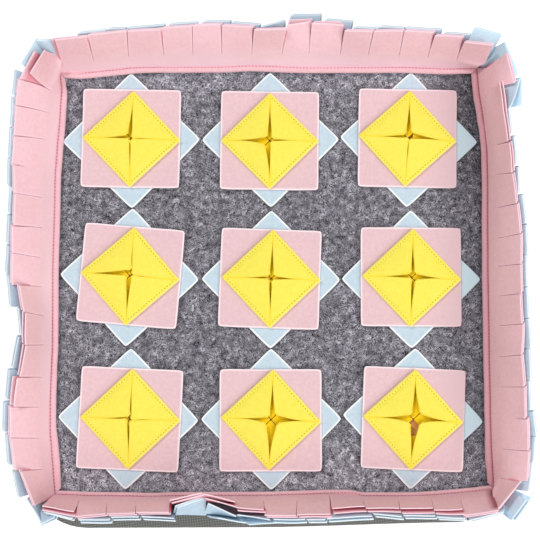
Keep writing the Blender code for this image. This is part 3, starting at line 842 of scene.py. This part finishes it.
class Border:  # one side of the mat, worked out in mm
    def __init__(self, name):
        side = fringes[name]
        self.name = name
        self.side = dict(side, pink=fitStrips(side["pink"], side["slits"], "pink"),
                         blue=fitStrips(side["blue"], (), "blue"))
        roots = [-fringeLook["ends"]] + [strip[0] for strip in self.side["pink"]]
        self.mids = [(low + high) / 2 for low, high in zip(roots, roots[1:])]
        self.leans = [(strip[3] + strip[4]) / 2 for strip in self.side["pink"]]

    def lean(self, along):  # how far the uncut band would lean, smooth along the side
        total = weight = 0.0
        for mid, lean in zip(self.mids, self.leans):
            share = math.exp(-((along - mid) / fringeLook["blend"]) ** 2)
            total += share * held(lean, 5.0, 32.0)
            weight += share
        return total / weight

    def corner(self, end):  # how far the neighbouring side is off its place at a corner
        neighbour = {-1: ("left", "near"), 1: ("right", "far")}.get(end)
        if not neighbour:
            return 0.0
        other = fringes[neighbour[self.side["along"] == (0, 1)]]
        return listed(other["wander"], 197 if self.name in ("far", "right") else -197)

    def seam(self, along):
        return fringeLook["border"] + self.side["bow"] * (1 - (along / fringeLook["border"]) ** 2)

    def spot(self, along, out, up):  # a point in metres
        away = self.seam(along) + out
        alongX, alongY = self.side["along"]
        outX, outY = self.side["outward"]
        return Vector(((alongX * along + outX * away) * mm, (alongY * along + outY * away) * mm, up * mm))


def fitStrips(strips, gaps, color):  # full rows, with cut edges as far apart as the list says
    usual = [fringeLook["spread"][color]] * 2 + [0.0]
    fitted = [list(strip) + usual[len(strip) - 5:] for strip in strips]
    for index, gap in enumerate(gaps):
        low, high = fitted[index], fitted[index + 1]
        if abs(high[1] - low[2]) < 3:
            middle = (low[2] + high[1]) / 2
            low[2], high[1] = middle - gap / 2, middle + gap / 2
    return fitted


def tipTable(border, color):  # tip leans of both plies, kept clear of the plies before them
    look = fringeLook
    inner = []
    if color == "blue":
        for strip in border.side["pink"]:
            inner.append((strip[1], strip[2], strip[3] + max(strip[5], look["plyStep"]),
                          strip[4] + max(strip[6], look["plyStep"])))

    def innermost(along):  # where the pink's outer ply is at the tips
        for start, end, low, high in inner:
            if start - 1.5 <= along <= end + 1.5:
                return between(low, high, held((along - start) / (end - start)))
        return -20.0

    plies = []
    for strip in border.side[color]:
        root, start, end, low, high, moreLow, moreHigh, moved = strip
        if color == "pink":
            first = (low, high)
            second = (low + max(moreLow, look["plyStep"]), high + max(moreHigh, look["plyStep"]))
        else:
            need = [innermost(between(start, end, share)) + 1.6 for share in (0.0, 0.25, 0.5, 0.75, 1.0)]
            first = [low - moreLow, high - moreHigh]
            for step, limit in enumerate(need):
                share = step / 4
                short = limit - between(first[0], first[1], share)
                if short > 0:  # lean the whole ply out, most where it is short
                    first[0] += short * (1 - share * 0.5)
                    first[1] += short * (0.5 + share * 0.5)
            second = (max(low, first[0] + 1.2), max(high, first[1] + 1.2))
        plies.append((first, second))
    return plies


pathLook = {  # cross-sections of the folded strips, out and up in mm
    "pink": {"outer": (1.3, 8.0), "inner": (0.1, 9.0), "reach": 48.0,
             "fold": ((0.2, 7.75), (-2.4, 7.75), (-4.2, 7.95), (-5.5, 9.2), (-4.3, 10.6), (-2.2, 10.7),
                      (-0.8, 10.0))},
    "blue": {"outer": (4.2, 6.0), "inner": (2.9, 7.2), "reach": 49.0,
             "fold": ((2.2, 5.5), (-0.6, 5.45), (-2.4, 5.5), (-3.2, 6.05), (-2.4, 6.62), (-0.2, 6.65),
                      (1.7, 6.7))},
}
# where a strip's points lie along its reach, in mm, and across its width, as shares
reachRows = (0.0, 1.6, 4.0, 8.5, 13.0, 17.0, 19.0, 23.0, 29.0, 36.0, 43.0, 46.9, 48.0)
shareColumns = (0.0, 0.05, 0.27, 0.5, 0.73, 0.95, 1.0)


def edgeLine(border, color, layer, edge):  # a strip's long edge, from the seam to the tip
    look, path = fringeLook, pathLook[color]
    baseOut, baseUp = path[layer]
    root, end = edge["root"], edge["end"]
    tucks = border.side["tucks"]  # by colour, ply and end, or the same for both plies
    tuck = tucks.get((color, layer, end)) or tucks.get((color, end)) or (0.0, 0.0, abs(end), 0.0)
    tuckAlong, tuckOut, diagonal, tipShift = tuck
    root += end * border.corner(end)
    lean = look["bandShare"] * border.lean(root) + 0.4 * max(0.0, edge["out"] - 36)
    if color == "blue":
        lean += listed(border.side.get("swell", ((0, 0),)), root)
    lean = min(lean, look["bandMost"])
    rim = (baseOut + lean, baseUp + math.sqrt(look["band"] ** 2 - lean ** 2))
    steepness = math.asin(held(lean / look["band"] * 1.15, -0.9, 0.9))
    knee = (rim[0] + look["knee"] * math.sin(steepness), rim[1] + look["knee"] * math.cos(steepness))
    rootAtRim = root + end * diagonal * rim[0] + tuckAlong
    strand = path["reach"] - look["band"]
    points = []
    for reach in reachRows:
        if reach <= look["band"]:
            part = reach / look["band"]
            out = baseOut + lean * part ** 1.15 + tuckOut * eased(part)
            up = baseUp + (rim[1] - baseUp) * part
            along = root + end * diagonal * out + tuckAlong * eased(part)
        else:
            part = (reach - look["band"]) / (look["reach"] - look["band"])
            own = 0.0  # where it is still one with its neighbour
            if reach > edge["slit"]:
                own = eased((reach - edge["slit"]) / (look["reach"] - edge["slit"]))
            tipAlong = between(edge["meet"][0], edge["tip"], own) + tipShift
            tipOut = between(edge["meet"][1], edge["out"], own)
            fall = held(tipOut - rim[0], -strand * 0.93, strand * 0.93)
            sideways = held(tipAlong - root, -24, 24)
            rise = math.sqrt(max(strand ** 2 - fall ** 2 - sideways ** 2, 36.0)) * 0.985
            tip = (rim[0] + fall, rim[1] + rise)
            bend = knee[0] + border.side.get("tuckBend", 0.0) * tuckOut
            out = (rim[0] + tuckOut) * (1 - part) ** 2 + 2 * bend * part * (1 - part) + tip[0] * part ** 2
            up = rim[1] * (1 - part) ** 2 + 2 * knee[1] * part * (1 - part) + tip[1] * part ** 2
            along = between(rootAtRim, tipAlong, part * (0.55 + 0.45 * part))
        if reach > edge["slit"]:
            opening = look["cutGap"] * min(1.0, (reach - edge["slit"]) / 1.2)
            if edge["slit"] < look["band"]:
                opening += look["deepGap"] * eased((reach - edge["slit"]) / 22)
            along += edge["side"] * opening
        out += listed(border.side["wander"], root) * (1 - reach / look["reach"])
        points.append((along, out, up))
    return points


def makeFringe(sideName, color):
    border, sheet, path = Border(sideName), Sheet(), pathLook[color]
    side, slip = border.side, fringeLook["slip"]
    strips, plies = side[color], tipTable(border, color)
    count = len(strips)
    # painted shade on the flange's body and in its crease
    body, crease = side["shade"] if color == "pink" else (0.0, 0.0)

    def tipOf(index, ply, high, moves=True):  # a tip's corner, along and out
        moved = slip + strips[index][7] if ply and moves else 0.0
        return strips[index][2 if high else 1] + moved, plies[index][ply][high]

    def edgeOf(index, ply, high):  # a strip's long edge, and where it parts from its neighbour
        slot = index + high
        root = strips[slot - 1][0] if slot else -fringeLook["ends"]
        inside = 0 < slot < count
        tip, out = tipOf(index, ply, high, inside)
        if not inside:
            return {"root": root, "tip": tip, "out": out, "meet": (tip, out), "slit": -1.0, "side": 0,
                    "end": 1 if high else -1}
        otherTip, otherOut = tipOf(index + (1 if high else -1), ply, not high)
        starts = side["slitStarts"] if color == "pink" else {}
        return {"root": root + slip * ply, "tip": tip, "out": out, "side": -1 if high else 1, "end": 0,
                "meet": ((tip + otherTip) / 2, (out + otherOut) / 2),
                "slit": starts.get(slot, fringeLook["band"])}

    def plyLine(index, ply, share, slit, lows, highs):  # from the seam to the tip: points, share of the pale colour, and share of painted shade or light
        middle = 1 - (2 * share - 1) ** 2
        points, cut_edge_and_highlight, lightShadeShare = [], [], []
        for reach, first, last in zip(reachRows, lows, highs):
            along, out, up = (between(first[axis], last[axis], share) for axis in range(3))
            free = eased((reach - 10) / 30)
            out += 0.6 * middle * free * wave(strips[index][1], plies[index][0][0], 3, 11.0)
            out += 0.7 * wave(along, reach + 40 * side["bow"], 9, 19.0) * eased(reach / 20)
            points.append((along, out, up))
            if color == "pink":
                # painted light on the band low down, fading towards the tips
                paintedLight = 0.75 * listed(side["paintedLight"], along) * (1 - 0.6 * eased((reach - 2) / 30))
                # a listed crease edge gets the crease's painted shade, the ply behind a share of painted shade
                pressed = (index, share) in side["paintedCreaseShade"]
                lightShadeShare.append(-1.0 * (reach < 44) if pressed else side["lightShadeShare"] * (reach < 45) * ply)
            else:
                paintedLight = 0.0
                # blue strips: painted light where listed, elsewhere a share of painted shade
                lightShadeShare.append(-side["light"].get(index, -side["paintedBlueShade"]))
            cut_edge_and_highlight.append(1.0 if reach == reachRows[-1] else max(0.6, paintedLight) if reach > slit else paintedLight)
        return points, cut_edge_and_highlight, lightShadeShare

    def foldLine(root):  # the folded flange inside the seam
        far = root / fringeLook["ends"]
        slide = math.copysign(abs(far) ** 12, far) * border.corner(1 if far > 0 else -1)
        shift, points = listed(side["wander"], root), []
        for out, up in path["fold"]:
            out = out * listed(side["flange"], root) if out < -1 else out
            points.append((root + far * out + slide, out + shift, up + 0.12 * wave(root, 0, 4, 14.0)))
        return points

    for index in range(count):
        ends = [[edgeOf(index, ply, high) for high in (False, True)] for ply in (0, 1)]
        lines = [[edgeLine(border, color, layer, edge) for edge in pair]
                 for layer, pair in zip(("inner", "outer"), ends)]
        columns, paleShares, shadingColumns = [], [], []
        for share in shareColumns:
            slits = [{0: low["slit"], 1: high["slit"]}.get(share, 99.0) for low, high in ends]
            (inner, innerPale, innerShading), (outer, outerPale, outerShading) = (
                plyLine(index, ply, share, slits[ply], *lines[ply]) for ply in (0, 1))
            low, high = ends[0]
            fold = foldLine(between(low["root"], high["root"], share))
            columns.append([border.spot(*point) for point in outer[::-1] + fold + inner])
            paleShares.append(outerPale[::-1] + [0.6 if slits[0] < 0 else 0.0] * len(fold) + innerPale)
            shadingColumns.append(outerShading[::-1] + [-body] * (len(fold) - 1) + [-crease] * 2 + innerShading[1:])
        sheet.rows(list(zip(*columns)), list(zip(*paleShares)), list(zip(*shadingColumns)))
    made = sheet.piece(f"{color}_fringe_strip_{sideName}", felts[color + "Fringe"], fringeLook["thick"] * mm, 1,
                       2e-6)
    onFrame(made, f"{color}_felt", f"{color}_fringe_{sideName}")


def stitchBorder(sideName):
    look, border, shape = fringeLook, Border(sideName), bmesh.new()
    pitch, half = look["stitchPitch"], look["stitchHalf"]
    count = int(2 * (look["ends"] - 3) / pitch)
    top = look["seamTop"] + look["nearStitchUp" if sideName == "near" else "stitchUp"]
    for index in range(count):
        center = (index + 0.5 - count / 2) * pitch
        away = listed(border.side["wander"], center) - look["stitchIn"]
        start, end = (border.spot(center + step, away, top) for step in (-half, half))
        addStitch(shape, start, end, border.side["thread"] * mm, look["stitchSink"] * mm)
    finishStitches(shape, f"border_stitches_{sideName}", roseThread, "pink_felt")


for sideName in fringes:
    makeFringe(sideName, "blue")
    makeFringe(sideName, "pink")
    stitchBorder(sideName)
print("fringe raised")


# studio

studio = {
    "elevation": 84.0,
    "azimuth": -0.186,
    "aim": (-0.0004, 0.0093, 0.0),
    "distance": 1.15,
    "lens": 82.28,
    "world": 0.42,
    "floor": linear(255, 255, 255),
    "floorDeep": linear(250, 250, 250),
    "floorGlow": 0.35,
    "key": (83.0, (1.7, -1.5, 2.55), 3.2, (1.0, 0.99, 0.985)),  # watts, place, size, colour
    "crisp": (38.0, (-1.3, 1.3, 2.9), 0.45, (1.0, 0.995, 0.99)),
}


def areaLight(name, power, spot, size, color):
    lamp = bpy.data.lights.new(name, "AREA")
    lamp.energy, lamp.size, lamp.color = power, size, color
    made = newObject(name, lamp)
    made.location = spot
    made.rotation_euler = (-Vector(spot)).to_track_quat("-Z", "Y").to_euler()


def makeStudio():
    material, base, shader = newMaterial("studio_floor")
    place = base.node("TexCoord", out=3)
    speckle = ((grain(place, 40.0, 2.0) - 0.5) * 0.2 + 0.5).held()
    dress(base, shader, mixed(studio["floorDeep"], studio["floor"], speckle), None, {
        "Roughness": 1.0, "Specular IOR Level": 0.0, "Emission Color": (1, 1, 1, 1),
        "Emission Strength": studio["floorGlow"]})
    shape = bmesh.new()
    bmesh.ops.create_grid(shape, x_segments=4, y_segments=4, size=6.0)
    newPiece(shape, "floor", material)

    scene = bpy.context.scene
    scene.world = bpy.data.worlds.new("soft_studio")
    scene.world.use_nodes = True
    background = scene.world.node_tree.nodes["Background"].inputs
    background["Color"].default_value = (1.0, 1.0, 1.0, 1.0)
    background["Strength"].default_value = studio["world"]
    areaLight("key_softbox", *studio["key"])
    areaLight("crisp_softbox", *studio["crisp"])

    up, turn = math.radians(studio["elevation"]), math.radians(studio["azimuth"])
    away = Vector((math.sin(turn) * math.cos(up), -math.cos(turn) * math.cos(up), math.sin(up)))
    lens = bpy.data.cameras.new("camera")
    lens.lens, lens.sensor_width = studio["lens"], 36.0
    lens.clip_start, lens.clip_end = 0.05, 20.0
    camera = newObject("camera", lens)
    camera.location = Vector(studio["aim"]) + away * studio["distance"]
    camera.rotation_euler = (-away).to_track_quat("-Z", "Y").to_euler()
    scene.camera = camera
    scene.view_settings.view_transform = "Standard"


makeStudio()
print("studio lit")
